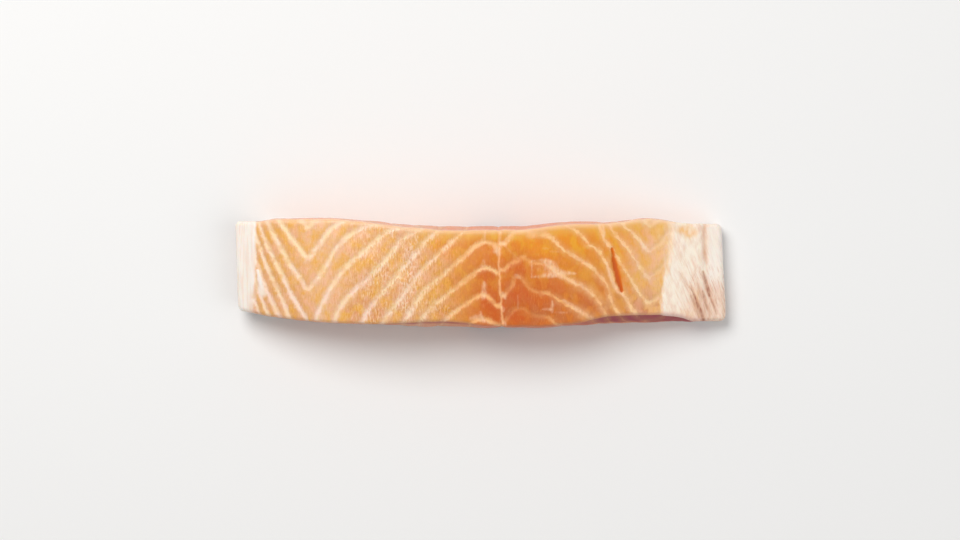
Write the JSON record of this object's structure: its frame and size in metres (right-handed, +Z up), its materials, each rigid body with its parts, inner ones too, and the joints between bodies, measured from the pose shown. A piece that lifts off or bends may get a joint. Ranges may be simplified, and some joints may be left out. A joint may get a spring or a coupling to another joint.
{
  "type": "raw salmon fillet",
  "caption": "Raw salmon fillet portion: a thick strip of orange flesh cut across the side of a fish, with a pale fat edge and a pale belly lining.",
  "frame": {"origin": "middle of the strip, on the surface it lies on", "axes": "+X along the strip, from the fish's back to its belly; +Y across the strip; +Z up through the thickness, away from the fish's outer side"},
  "size_m": [0.2054, 0.046, 0.029],
  "materials": {
    "salmon_flesh": "moist raw salmon: orange muscle blocks between thin pale lines of fat, paler to creamy white at both ends"
  },
  "bodies": {
    "root": {"fillet": "salmon_flesh"}
  },
  "joints": []
}
